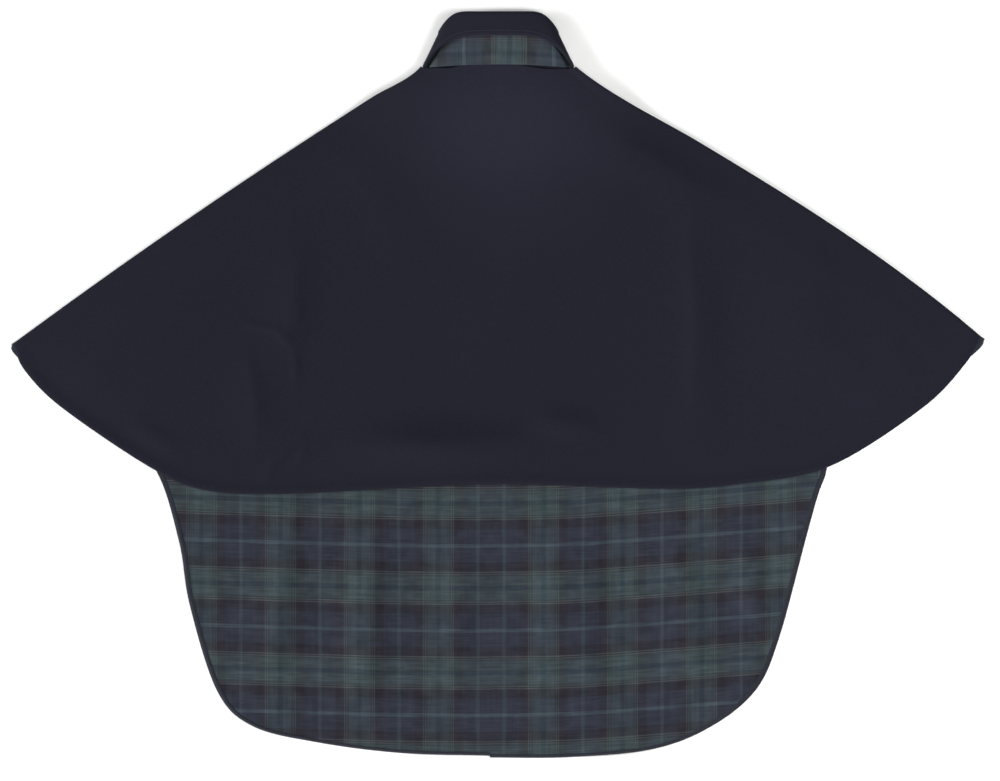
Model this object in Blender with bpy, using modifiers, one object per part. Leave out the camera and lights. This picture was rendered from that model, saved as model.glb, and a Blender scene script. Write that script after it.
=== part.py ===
"""A cape with a short back, long lined fronts and a folded collar, laid flat with its back up.

Units are metres. The cape lies on the plane Z = 0. +Y points from the hem to the collar and +X to
the right as seen from above. The origin is on that plane, under the middle of the whole outline.
Every piece of cloth is an open sheet, placed by its own functions and thickened by Solidify.
"""
import math
from collections import namedtuple

import bmesh
import bpy
import numpy as np

MM = 0.001

# Thickness of each cloth, and the gap between two pieces that meet
SHELL_THICK = 1.4 * MM
LINING_THICK = 1.0 * MM
BACK_THICK = 1.6 * MM
COLLAR_THICK = 1.2 * MM
GAP = 0.3 * MM

NAVY = "#2A2B35"
TARTAN_GREEN = "#383D44"

Point = namedtuple("Point", "x y")
Fold = namedtuple("Fold", "x y angle half_length half_width height")
Bump = namedtuple("Bump", "x y radius height")
Around = namedtuple("Around", "back side front")
Span = namedtuple("Span", "start end")

# Neck: the seam is a flattened ring, its back half over its front half
NECK_HALF_WIDTH = 95.5 * MM
NECK_SEAM = Around(back=448 * MM, side=444 * MM, front=392 * MM)
NECK_SEAM_HEIGHT = Around(back=16.5 * MM, side=11.7 * MM, front=6.7 * MM)
SHOULDER = Point(110 * MM, 442.6 * MM)
BACK_NECK_GAP = 0.4 * MM
FRONT_NECK_GAP = 0.6 * MM
FRONT_NECK_SIDE_GAP = COLLAR_THICK + 0.5 * MM
FRONT_NECK_ANGLES = (180, 173, 165, 150, 135, 120, 107)

# Collar: where its fold and its free edge run, and how far the fall stands off the stand
COLLAR_FOLD = Around(back=518.2 * MM, side=490 * MM, front=468 * MM)
COLLAR_FOLD_HEIGHT = Around(back=15.5 * MM, side=11.2 * MM, front=6.7 * MM)
COLLAR_EDGE = Around(back=488.5 * MM, side=443.8 * MM, front=404 * MM)
FALL_STANDOFF = Around(back=5.5 * MM, side=10 * MM, front=4 * MM)
COLLAR_TAPER = 0.48
COLLAR_FOLD_SQUARENESS = 3.6
COLLAR_END_ANGLE = 177
RING_FLATNESS = 0.5
ROLL_DEPTH = Around(back=0.5, side=0.9, front=0.5)

# Overarm seams, from the neck point out to the wing tip
WING_TIP = {-1: Point(-682 * MM, 59 * MM), 1: Point(682 * MM, 66 * MM)}
OVERARM_BULGE = {-1: 7 * MM, 1: 15 * MM}
OVERARM_BULGE_SKEW = {-1: 1.0, 1: 1.5}
OVERARM_DIP = 3.5 * MM
OVERARM_DIP_REACH = {-1: 0.12, 1: 0.3}

# Hem of the back, from the left wing tip to the right one
BACK_HEM = (
    Point(-678 * MM, 59 * MM),
    Point(-662 * MM, 23 * MM),
    Point(-609 * MM, -30 * MM),
    Point(-485 * MM, -114 * MM),
    Point(-410 * MM, -145 * MM),
    Point(-300 * MM, -150 * MM),
    Point(-120 * MM, -141 * MM),
    Point(2 * MM, -136 * MM),
    Point(236 * MM, -143 * MM),
    Point(338 * MM, -136 * MM),
    Point(462 * MM, -112 * MM),
    Point(592 * MM, -30 * MM),
    Point(653 * MM, 33 * MM),
    Point(673 * MM, 69 * MM),
)

# Outer edge of each front, from the middle of the hem round the corner and up to the wing tip
FRONT_MEETING_X = -12 * MM
FRONT_EDGE = {
    -1: (
        Point(FRONT_MEETING_X, -519 * MM),
        Point(-138 * MM, -515 * MM),
        Point(-255 * MM, -500 * MM),
        Point(-345 * MM, -477 * MM),
        Point(-394 * MM, -428 * MM),
        Point(-432 * MM, -309 * MM),
        Point(-447 * MM, -220 * MM),
        Point(-480 * MM, -119 * MM),
        Point(-540 * MM, -67 * MM),
        Point(-614 * MM, -16 * MM),
        Point(-677 * MM, 43 * MM),
        WING_TIP[-1],
    ),
    1: (
        Point(FRONT_MEETING_X, -521.5 * MM),
        Point(98 * MM, -521 * MM),
        Point(215 * MM, -510 * MM),
        Point(296 * MM, -479 * MM),
        Point(360 * MM, -427 * MM),
        Point(393 * MM, -354 * MM),
        Point(429 * MM, -220 * MM),
        Point(447.5 * MM, -154 * MM),
        Point(457 * MM, -129 * MM),
        Point(461 * MM, -114 * MM),
        Point(472 * MM, -101 * MM),
        Point(530 * MM, -61 * MM),
        Point(594 * MM, -14 * MM),
        Point(670 * MM, 48 * MM),
        WING_TIP[1],
    ),
}

# Bound edge of the fronts
BINDING_AT_HEM = 4 * MM
BINDING_AT_SIDE = 7 * MM
BINDING_CROWN = 0.7 * MM
BINDING_WIDENS = Span(start=-500 * MM, end=-410 * MM)

# How the layers rise towards the neck
FRONT_NECK_LIFT = 4.8 * MM
FRONT_SHOULDER_LIFT = 4.0 * MM
SHOULDER_LIFT_POWER = 4
FRONT_LIFT_HOLD = 36 * MM
FRONT_LIFT_REACH = 105 * MM
BACK_SHOULDER_HEIGHT = 12.4 * MM
BACK_NECK_CROWN = 3.3 * MM
BACK_CROWN_HOLD = 24 * MM
BACK_CROWN_REACH_MIDDLE = 260 * MM
BACK_CROWN_REACH_SIDE = 150 * MM

# Soft folds of the back: ridges that lie on the layers below
BACK_FOLDS = (
    Fold(281 * MM, 90 * MM, 90, 225 * MM, 26 * MM, 4.0 * MM),
    Fold(-290 * MM, 115 * MM, 84, 130 * MM, 30 * MM, 3.0 * MM),
    Fold(-345 * MM, -20 * MM, 96, 100 * MM, 30 * MM, 2.5 * MM),
    Fold(-80 * MM, -92 * MM, 4, 240 * MM, 34 * MM, 4.0 * MM),
    Fold(40 * MM, 150 * MM, 52, 190 * MM, 46 * MM, 3.5 * MM),
    Fold(430 * MM, 110 * MM, 74, 130 * MM, 46 * MM, 3.5 * MM),
    Fold(-480 * MM, 70 * MM, 30, 160 * MM, 60 * MM, 3.0 * MM),
    Fold(500 * MM, 20 * MM, -32, 150 * MM, 50 * MM, 3.0 * MM),
)

# Soft folds of the lining where it shows, below the back
LINING_FOLDS = (
    Fold(-313 * MM, -300 * MM, 82, 150 * MM, 30 * MM, 2.0 * MM),
    Fold(-194 * MM, -330 * MM, 88, 160 * MM, 32 * MM, 2.2 * MM),
    Fold(-47 * MM, -330 * MM, 91, 150 * MM, 30 * MM, 1.6 * MM),
    Fold(96 * MM, -325 * MM, 88, 155 * MM, 32 * MM, 2.2 * MM),
    Fold(261 * MM, -315 * MM, 96, 150 * MM, 34 * MM, 2.2 * MM),
    Fold(352 * MM, -270 * MM, 104, 110 * MM, 24 * MM, 1.6 * MM),
)

# Up which stretch of y that relief runs out under the back, and its flat rows beside the binding
RELIEF_ENDS = Span(start=-190 * MM, end=-155 * MM)
LINING_FLAT_ROWS = 0.06

# Shares of a sheet over which a front's meeting edge and the bowed overarm seam run out, where a
# front's edge starts to turn along that seam, and how far in from the seam the back lies flat
MEETING_SPREAD = 0.06
FRONT_BOW_SPREAD = 0.25
BACK_BOW_SPREAD = 0.5
TIP_TURN = 0.9
SEAM_FLAT = 60 * MM

# Places where the fronts' free edge lifts off the surface
EDGE_LIFTS = (
    Bump(-445 * MM, -255 * MM, 60 * MM, 2.5 * MM),
    Bump(-330 * MM, -495 * MM, 70 * MM, 3.0 * MM),
    Bump(-90 * MM, -530 * MM, 60 * MM, 2.0 * MM),
    Bump(165 * MM, -530 * MM, 70 * MM, 3.0 * MM),
    Bump(345 * MM, -450 * MM, 85 * MM, 4.5 * MM),
    Bump(425 * MM, -240 * MM, 55 * MM, 2.5 * MM),
)

# Spans, rows and angles of the sheets
BACK_SPANS = (36, 16)
FRONT_SPANS = 22
LINING_ROWS = (0, 0.03, 0.07, 0.12, 0.2, 0.35, 0.5, 0.6, 0.68, 0.76, 0.84, 0.92, 1)
BINDING_ROWS = (1.02, 1.5, 2)
COLLAR_STAND_SPANS = 4
COLLAR_ROLL_SPANS = 6
COLLAR_FALL_SPANS = 4
COLLAR_ANGLES = (0, 14, 28, 42, 55, 67, 77, 85, 90, 95, 103, 113, 126, 142, 160, COLLAR_END_ANGLE)


def smooth(share):
    """0 below 0, 1 above 1 and a soft step between them."""
    share = min(max(share, 0.0), 1.0)
    return share * share * (3 - 2 * share)


def fade(distance, hold, reach):
    """1 up to hold, then softly down to 0 at reach."""
    return 1 - smooth((distance - hold) / (reach - hold))


def arch(share):
    """0 at both ends and 1 midway."""
    return 4 * share * (1 - share)


def early_arch(share):
    """0 at both ends and beyond them, and 1 a third of the way along."""
    share = min(max(share, 0.0), 1.0)
    return 6.75 * share * (1 - share) ** 2


def linear_channel(value):
    """One sRGB channel, 0 to 1, as linear light."""
    if value <= 0.04045:
        return value / 12.92
    return ((value + 0.055) / 1.055) ** 2.4


def cloth_material(name, colour, roughness):
    """A plain cloth: a Principled BSDF with the given sRGB hex colour."""
    material = bpy.data.materials.new(name)
    material.use_nodes = True
    channels = [int(colour[i:i + 2], 16) / 255 for i in (1, 3, 5)]
    rgba = [linear_channel(channel) for channel in channels] + [1.0]
    shader = material.node_tree.nodes["Principled BSDF"]
    shader.inputs["Base Color"].default_value = rgba
    shader.inputs["Roughness"].default_value = roughness
    shader.inputs["Metallic"].default_value = 0.0
    material.diffuse_color = rgba
    return material


class SmoothPath:
    """A smooth curve through a few points, read by the share of its length."""

    STEPS = 16
    NORMAL_STEP = 0.004

    def __init__(self, points):
        points = np.array(points, dtype=float)
        padded = np.vstack([2 * points[0] - points[1], points, 2 * points[-1] - points[-2]])
        samples = []
        for a, b, c, d in zip(padded, padded[1:], padded[2:], padded[3:]):
            for step in range(self.STEPS):
                t = step / self.STEPS
                samples.append(
                    b + 0.5 * t * (c - a + t * (2 * a - 5 * b + 4 * c - d + t * (3 * (b - c) + d - a)))
                )
        samples.append(points[-1])
        self.points = np.array(samples)
        steps = np.hypot(*np.diff(self.points, axis=0).T)
        self.shares = np.concatenate([[0], np.cumsum(steps)]) / steps.sum()

    def at(self, share):
        """The point at a share of the length, as an array of x and y."""
        return np.array([np.interp(share, self.shares, column) for column in self.points.T])

    def normal(self, share):
        """The unit vector to the right of the path at a share of its length."""
        along = self.at(min(share + self.NORMAL_STEP, 1)) - self.at(max(share - self.NORMAL_STEP, 0))
        along /= np.hypot(*along)
        return np.array([along[1], -along[0]])


def fold_height(x, y, folds):
    """Height that the soft ridges of a table add at a point."""
    height = 0.0
    for fold in folds:
        turn = math.radians(fold.angle)
        along = (x - fold.x) * math.cos(turn) + (y - fold.y) * math.sin(turn)
        across = (y - fold.y) * math.cos(turn) - (x - fold.x) * math.sin(turn)
        end = max(0.0, 1 - (along / fold.half_length) ** 2)
        height += fold.height * end * end * math.exp(-((across / fold.half_width) ** 2))
    return height


def edge_lift(x, y):
    """How far the fronts' free edge is off the surface at a point."""
    height = 0.0
    for bump in EDGE_LIFTS:
        distance = math.hypot(x - bump.x, y - bump.y)
        height += bump.height * (1 - smooth(distance / bump.radius))
    return height


def overarm_bulge(side, along):
    """How far, as x and y, the overarm seam bows out at a share of its length, past a dip by the neck."""
    reach = np.array(WING_TIP[side]) - np.array([side * SHOULDER.x, SHOULDER.y])
    outward = np.array([-reach[1], reach[0]]) * side / np.hypot(*reach)
    bulge = OVERARM_BULGE[side] * arch(along ** OVERARM_BULGE_SKEW[side])
    return outward * (bulge - OVERARM_DIP * early_arch(along / OVERARM_DIP_REACH[side]))


def neck_back_edge(across):
    """The back's neck edge at -1 (left) to 1 (right)."""
    x = across * SHOULDER.x
    dip = (NECK_SEAM.back - NECK_SEAM.side) * (x / NECK_HALF_WIDTH) ** 2
    return np.array([x, NECK_SEAM.back - dip - BACK_NECK_GAP])


def neck_front_path(side):
    """The neck edge of a front, from the meeting edge to the shoulder."""
    drop = NECK_SEAM.side - NECK_SEAM.front
    points = []
    for angle in FRONT_NECK_ANGLES:
        turn = math.radians(angle)
        clear = FRONT_NECK_GAP + FRONT_NECK_SIDE_GAP * math.sin(turn)
        x = (NECK_HALF_WIDTH + clear) * math.sin(turn) + GAP
        y = NECK_SEAM.side - drop * math.cos(turn) ** 2 - clear
        points.append((side * x, y))
    points.append((side * SHOULDER.x, SHOULDER.y))
    return SmoothPath(points)


class Back:
    """The back: rays run from the neck edge down to the hem."""

    def __init__(self):
        self.hem = SmoothPath(BACK_HEM)

    def plan(self, across, down):
        """The point at -1 (left seam) to 1 (right seam) and 0 (neck) to 1 (hem)."""
        neck = neck_back_edge(across)
        hem = self.hem.at((across + 1) / 2)
        side = 1 if across > 0 else -1
        bow = max(0.0, 1 - (1 - abs(across)) / BACK_BOW_SPREAD) ** 2
        return neck + (hem - neck) * down + bow * overarm_bulge(side, down)

    def underside(self, across, down):
        """The same point with its height, on the lower face of the cloth."""
        plan = self.plan(across, down)
        side = 1 if across > 0 else -1
        from_neck = np.hypot(*(plan - neck_back_edge(across)))
        from_seam = np.hypot(*(plan - self.plan(side, down)))
        middle = 1 - across ** 2
        reach = BACK_CROWN_REACH_SIDE + middle * (BACK_CROWN_REACH_MIDDLE - BACK_CROWN_REACH_SIDE)
        near_neck = fade(from_neck, BACK_CROWN_HOLD, reach)
        at_neck = BACK_SHOULDER_HEIGHT + BACK_NECK_CROWN * middle
        at_rest = SHELL_THICK + LINING_THICK + 2 * GAP
        at_rest += fold_height(*plan, BACK_FOLDS) * smooth(from_seam / SEAM_FLAT)
        return (*plan, at_rest + (at_neck - at_rest) * near_neck)


class Front:
    """One front: rays run from its neck edge down to its outer edge.

    A place on it is a share, 0 (meeting edge) to 1 (overarm seam), and a row: 0 (neck) to 1 (edge of
    the lining), then on to 2 (outer edge) across the bound edge.
    """

    def __init__(self, side):
        self.side = side
        self.neck = neck_front_path(side)
        self.edge = SmoothPath(FRONT_EDGE[side])

    def binding_width(self, share):
        """Width of the bound edge at a share of the outer edge."""
        wide = 1 - fade(self.edge.at(share)[1], *BINDING_WIDENS)
        return BINDING_AT_HEM + (BINDING_AT_SIDE - BINDING_AT_HEM) * wide

    def inward(self, share):
        """The direction in from the outer edge, which turns along the seam at the wing tip."""
        square = -self.side * self.edge.normal(share)
        seam = np.array([self.side * SHOULDER.x, SHOULDER.y]) - np.array(WING_TIP[self.side])
        along_seam = smooth((share - TIP_TURN) / (1 - TIP_TURN))
        return square + (seam / np.hypot(*seam) - square) * along_seam

    def plan(self, share, row):
        """The place as x and y."""
        binding = self.binding_width(share)
        inset = binding + GAP if row <= 1 else binding * (2 - row)
        down = min(row, 1)
        neck = self.neck.at(share)
        outer = self.edge.at(share) + inset * self.inward(share)
        bow = max(0.0, 1 - (1 - share) / FRONT_BOW_SPREAD) ** 2
        point = neck + (outer - neck) * down + bow * overarm_bulge(self.side, down)
        point[0] += self.side * GAP * max(0.0, 1 - share / MEETING_SPREAD)
        return point

    def shell(self, share, row):
        """A point of the shell's lower face: flat but for its free edge and its neck."""
        plan = self.plan(share, row)
        from_neck = np.hypot(*(plan - self.neck.at(share)))
        lift = FRONT_NECK_LIFT + FRONT_SHOULDER_LIFT * share ** SHOULDER_LIFT_POWER
        near_neck = fade(from_neck, FRONT_LIFT_HOLD, FRONT_LIFT_REACH)
        return (*plan, edge_lift(*plan) + lift * near_neck)

    def lining(self, share, row):
        """A point of the lining's lower face: the shell's, moved up, with folds where it shows."""
        x, y, z = self.shell(share, row)
        inside = smooth((1 - row) / LINING_FLAT_ROWS) * smooth(share / MEETING_SPREAD)
        shown = fade(y, *RELIEF_ENDS)
        return (x, y, z + SHELL_THICK + GAP + fold_height(x, y, LINING_FOLDS) * inside * shown)

    def binding(self, share, row):
        """A point of the bound edge's lower face: the shell's, moved up, crowned where it shows."""
        x, y, z = self.shell(share, row)
        crown = BINDING_CROWN * fade(y, *RELIEF_ENDS) * arch(row - 1)
        return (x, y, z + SHELL_THICK + GAP + crown)


class Collar:
    """The collar: a stand up from the neck seam, a roll at its fold and a fall down outside it."""

    def __init__(self):
        self.rows = COLLAR_STAND_SPANS + COLLAR_ROLL_SPANS + COLLAR_FALL_SPANS

    @staticmethod
    def ring(sizes, cosine, squareness=2):
        """A size read round the neck: steep past the sides, level at the back and the front."""
        if cosine > 0:
            return sizes.side + (sizes.back - sizes.side) * (1 - (1 - cosine) ** squareness)
        return sizes.side + (sizes.front - sizes.side) * cosine ** 2

    def fold(self, cosine):
        """How far up the fold runs: its corners at the back are squarer than the fall's edge."""
        return self.ring(COLLAR_FOLD, cosine, COLLAR_FOLD_SQUARENESS)

    @staticmethod
    def seam(cosine):
        """How far up the neck seam runs."""
        end = NECK_SEAM.back if cosine > 0 else NECK_SEAM.front
        return NECK_SEAM.side + (end - NECK_SEAM.side) * cosine ** 2

    def place(self, angle, y, standoff):
        """A point at an angle round the neck, up at y, and off the stand by standoff."""
        turn = math.radians(angle)
        sine, cosine = math.sin(turn), math.cos(turn)
        level = math.copysign(abs(cosine) ** RING_FLATNESS, cosine)
        seam = self.seam(cosine)
        up = min(max((y - seam) / (self.fold(cosine) - seam), 0.0), 1.0)
        low = self.level_height(NECK_SEAM_HEIGHT, level)
        high = self.level_height(COLLAR_FOLD_HEIGHT, level)
        half_width = NECK_HALF_WIDTH - COLLAR_TAPER * max(0.0, y - NECK_SEAM.side)
        x = half_width * sine + standoff * sine
        return (x, y, low + (high - low) * up + standoff * level)

    @staticmethod
    def level_height(sizes, level):
        """A height of the flattened ring between its side and its back or front."""
        end = sizes.back if level > 0 else sizes.front
        return sizes.side + (end - sizes.side) * abs(level)

    def middle(self, angle, row):
        """A point midway between the two collar pieces; rows run from the seam to the free edge."""
        cosine = math.cos(math.radians(angle))
        seam = self.seam(cosine)
        fold = self.fold(cosine)
        standoff = self.ring(FALL_STANDOFF, cosine)
        if row <= COLLAR_STAND_SPANS:
            return self.place(angle, seam + (fold - seam) * row / COLLAR_STAND_SPANS, 0)
        row -= COLLAR_STAND_SPANS
        if row < COLLAR_ROLL_SPANS:
            turn = math.pi * row / COLLAR_ROLL_SPANS
            out = standoff * (1 - math.cos(turn)) / 2
            x, _, z = self.place(angle, fold, out)
            depth = standoff * self.ring(ROLL_DEPTH, cosine)
            return (x, fold + depth * math.sin(turn), z)
        row -= COLLAR_ROLL_SPANS
        edge = self.ring(COLLAR_EDGE, cosine)
        return self.place(angle, fold + (edge - fold) * row / COLLAR_FALL_SPANS, standoff)


def sheet_object(collection, name, columns, rows, point_at, material, thickness, gap=0.0):
    """An open sheet with a point for each column and row, made into a wall.

    A positive thickness goes to the face's own side and a negative one to the other. A gap moves
    the sheet off its points first, to the same side as the thickness.
    """
    grid = bmesh.new()
    spans = (len(columns) - 1, len(rows) - 1)
    bmesh.ops.create_grid(grid, x_segments=spans[0], y_segments=spans[1], size=1)
    for vert in grid.verts:
        column = columns[round((vert.co.x + 1) / 2 * spans[0])]
        row = rows[round((vert.co.y + 1) / 2 * spans[1])]
        vert.co = point_at(column, row)
    mesh = bpy.data.meshes.new(name)
    grid.to_mesh(mesh)
    grid.free()
    mesh.shade_smooth()
    mesh.materials.append(material)
    sheet = bpy.data.objects.new(name, mesh)
    collection.objects.link(sheet)
    side = math.copysign(1, thickness)
    if gap:
        offset = sheet.modifiers.new("Gap", "DISPLACE")
        offset.mid_level = 0
        offset.strength = side * gap
    wall = sheet.modifiers.new("Wall", "SOLIDIFY")
    wall.thickness = abs(thickness)
    wall.offset = side
    return sheet


def even(spans):
    """Shares from 0 to 1 in equal steps."""
    return [index / spans for index in range(spans + 1)]


def build_back(collection, navy):
    """The back, as one sheet."""
    columns = [2 * share - 1 for share in even(BACK_SPANS[0])]
    rows = [1 - share for share in even(BACK_SPANS[1])]
    sheet_object(collection, "back", columns, rows, Back().underside, navy, BACK_THICK)


def build_front(collection, side, navy, tartan):
    """One front: its shell, its lining and its bound edge, over the same places."""
    front = Front(side)
    word = "right" if side > 0 else "left"
    columns = even(FRONT_SPANS)[::side]
    pieces = (
        (f"front_{word}", LINING_ROWS + BINDING_ROWS, front.shell, navy, SHELL_THICK),
        (f"front_lining_{word}", LINING_ROWS, front.lining, tartan, LINING_THICK),
        (f"front_binding_{word}", BINDING_ROWS, front.binding, navy, LINING_THICK),
    )
    for name, rows, point_at, material, thickness in pieces:
        sheet_object(collection, name, columns, rows[::-1], point_at, material, thickness)


def build_collar(collection, navy, tartan):
    """The collar's two pieces, on either side of one middle surface."""
    collar = Collar()
    angles = [-angle for angle in reversed(COLLAR_ANGLES[1:])] + list(COLLAR_ANGLES)
    rows = list(range(collar.rows + 1))
    pieces = (("collar_under", tartan, COLLAR_THICK), ("collar_upper", navy, -COLLAR_THICK))
    for name, material, thickness in pieces:
        sheet_object(collection, name, angles, rows, collar.middle, material, thickness, GAP / 2)


def main():
    for old in list(bpy.data.objects):
        bpy.data.objects.remove(old, do_unlink=True)
    collection = bpy.data.collections.new("cape")
    bpy.context.scene.collection.children.link(collection)
    navy = cloth_material("navy_shell_cloth", NAVY, roughness=0.85)
    tartan = cloth_material("tartan_lining_cloth", TARTAN_GREEN, roughness=0.65)
    build_back(collection, navy)
    for side in (-1, 1):
        build_front(collection, side, navy, tartan)
    build_collar(collection, navy, tartan)


main()
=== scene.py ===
"""Looks of a cape that lies flat with its back up, laid out as an add-on and run as a script.

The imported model's frame is used: +X to the right, +Y from the hem to the collar and +Z up. Shapes are
worked out in millimetres and made in metres. Each sheet comes from the model's own sizes on a finer
grid, with turned edges, creases and stitches. The back's crown and the lining's folds are steeper
than the model's.
"""
import math
from collections import namedtuple

import bpy
import numpy as np
from bpy.props import FloatProperty, FloatVectorProperty, PointerProperty
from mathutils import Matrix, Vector, noise


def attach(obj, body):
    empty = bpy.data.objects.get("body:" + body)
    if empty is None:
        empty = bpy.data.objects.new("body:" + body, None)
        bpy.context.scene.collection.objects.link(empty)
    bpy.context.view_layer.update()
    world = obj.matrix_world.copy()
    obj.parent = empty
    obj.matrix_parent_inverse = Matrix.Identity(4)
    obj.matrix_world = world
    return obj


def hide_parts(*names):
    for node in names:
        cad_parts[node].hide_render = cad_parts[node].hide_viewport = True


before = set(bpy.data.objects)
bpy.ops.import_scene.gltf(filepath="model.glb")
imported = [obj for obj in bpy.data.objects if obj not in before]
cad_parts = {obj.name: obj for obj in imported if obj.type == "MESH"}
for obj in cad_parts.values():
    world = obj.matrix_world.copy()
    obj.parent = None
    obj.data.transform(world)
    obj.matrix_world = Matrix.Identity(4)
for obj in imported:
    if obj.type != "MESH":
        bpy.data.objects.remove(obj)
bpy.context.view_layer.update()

bl_info = {
    "name": "Cape lying flat",
    "version": (1, 0, 0),
    "blender": (4, 5, 0),
    "location": "3D View > Sidebar > Cape",
    "description": "Makes a cape with a short back, tartan-lined fronts and a folded collar",
    "category": "Mesh",
}

MM = 0.001
CUT_UV = "Cut"
SIDES = {-1: "left", 1: "right"}

Around = namedtuple("Around", "back side front")
Cut = namedtuple("Cut", "width length area")
Fold = namedtuple("Fold", "x y angle half_length half_width height bend", defaults=(0,))
Lamp = namedtuple("Lamp", "name kind power place aim size")
Span = namedtuple("Span", "start end")

# Neck, in mm: the seam is a flattened ring, its back half over its front half
SEAM_GAP = 0.3
NECK_HALF_WIDTH = 95.5
NECK_SEAM = Around(back=448, side=444, front=392)
NECK_SEAM_HEIGHT = Around(back=16.5, side=11.7, front=6.7)
SHOULDER = np.array([110, 442.6])
BACK_NECK_GAP = 0.05
BACK_NECK_END = 108
NECK_POINT = Span(start=0.88, end=1.0)
NECK_POINT_RISE = 3.0
NECK_POINT_LIFT = 1.4
# Sags of the back's neck edge: x, half width and depth
BACK_NECK_SAGS = ((66, 26, 4.4), (-70, 14, 3.0))
FRONT_NECK_GAP = 0.6
FRONT_NECK_SIDE_GAP = 1.7
FRONT_NECK_ANGLES = np.array([180, 173, 165, 150, 135, 120, 107])

# Collar: where its fold and its free edge run, and how far the fall stands off the stand
COLLAR_FOLD = Around(back=518.2, side=490, front=468)
COLLAR_FOLD_HEIGHT = Around(back=15.5, side=11.2, front=6.7)
COLLAR_EDGE = Around(back=488.5, side=443.8, front=404)
FALL_STANDOFF = Around(back=5.5, side=10, front=4)
ROLL_DEPTH = Around(back=0.5, side=0.9, front=0.5)
STAND_TUCK = 4
STAND_TUCK_POWER = 4
COLLAR_TAPER = 0.48
COLLAR_FOLD_SQUARENESS = 3.6
COLLAR_END_ANGLE = 177
RING_FLATNESS = 0.5

# Overarm seams, from the neck point out to the wing tip
WING_TIP = {-1: np.array([-682, 59]), 1: np.array([682, 66])}
OVERARM_BULGE = {-1: 7, 1: 15}
OVERARM_BULGE_SKEW = {-1: 1.0, 1: 1.5}
OVERARM_DIP = 3.5
OVERARM_DIP_REACH = {-1: 0.12, 1: 0.3}
BACK_BOW_SPREAD = 0.5
FRONT_BOW_SPREAD = 0.25

# Hem of the back, from the left wing tip to the right one
BACK_HEM = (
    (-678, 59), (-662, 23), (-609, -30), (-485, -114), (-410, -145), (-300, -150), (-120, -141),
    (2, -136), (236, -143), (338, -136), (462, -112), (592, -30), (653, 33), (673, 69),
)

# Outer edge of each front, from the middle of the hem round the corner and up to the wing tip
FRONT_EDGE = {
    -1: (
        (-12, -519), (-138, -515), (-255, -500), (-345, -477), (-394, -428), (-432, -309),
        (-447, -220), (-480, -119), (-540, -67), (-614, -16), (-677, 43), (-682, 59),
    ),
    1: (
        (-12, -521.5), (98, -521), (215, -510), (296, -479), (360, -427), (393, -354), (429, -220),
        (447.5, -154), (457, -129), (461, -114), (472, -101), (530, -61), (594, -14), (670, 48),
        (682, 66),
    ),
}
BINDING_WIDENS = Span(start=-500, end=-410)
MEETING_SPREAD = 0.06
MEETING_GAP = 0.02
TIP_TURN = 0.9

# How the layers rise towards the neck
FRONT_NECK_LIFT = 4.8
FRONT_SHOULDER_LIFT = 4.0
SHOULDER_LIFT_POWER = 4
FRONT_LIFT = Span(start=36, end=105)
BACK_REST = 3.0
BACK_SHOULDER_HEIGHT = 12.4
BACK_NECK_CROWN = 3.3
BACK_CROWN_HOLD = 24
BACK_CROWN_REACH_MIDDLE = 170
BACK_CROWN_REACH_SIDE = 150
SEAM_FLAT = 60

# Large soft folds of the back, and the finer creases on them
BACK_FOLDS = (
    Fold(281, 90, 90, 225, 26, 4.0),
    Fold(-290, 115, 84, 130, 30, 3.0),
    Fold(-345, -20, 96, 100, 30, 2.5),
    Fold(-80, -92, 4, 240, 34, 4.0),
    Fold(40, 150, 52, 190, 46, 3.5),
    Fold(430, 110, 74, 130, 46, 3.5),
    Fold(-480, 70, 30, 160, 60, 3.0),
    Fold(500, 20, -32, 150, 50, 3.0),
)
BACK_CREASES = (
    Fold(-165, 335, 34, 120, 36, 3.5, bend=6),
    Fold(210, 308, -33, 130, 36, 3.0, bend=-6),
    Fold(272, 105, 90, 225, 9, 1.3, bend=5),
    Fold(-286, 110, 86, 105, 9, 1.0, bend=-6),
    Fold(-343, -15, 93, 95, 9, 1.0, bend=5),
    Fold(-332, 81, 171, 36, 5, 1.5, bend=-3),
    Fold(-297, 67, 139, 30, 5, 1.6, bend=-3),
    Fold(-281, 26, 88, 42, 5, 1.4, bend=3),
    Fold(-277, 105, 86, 26, 5, 0.9),
    Fold(-270, 66, 60, 22, 5, 1.0),
    Fold(-300, -98, 44, 66, 8, 1.8, bend=6),
    Fold(-95, -82, 4, 160, 22, 6.8, bend=6),
    Fold(92, -52, -3, 68, 19, 4.4, bend=-4),
    Fold(-480, -74, -24, 56, 14, 2.2, bend=4),
    Fold(-275, -98, 80, 30, 6, 0.8),
    Fold(-318, -122, 72, 26, 6, 0.8),
    Fold(150, 250, 58, 120, 30, 2.4, bend=12),
    Fold(-150, 235, 118, 130, 34, 2.2, bend=-14),
    Fold(555, 45, -60, 60, 22, 1.6, bend=6),
    Fold(-575, 15, 40, 80, 24, 1.6, bend=8),
)

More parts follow.
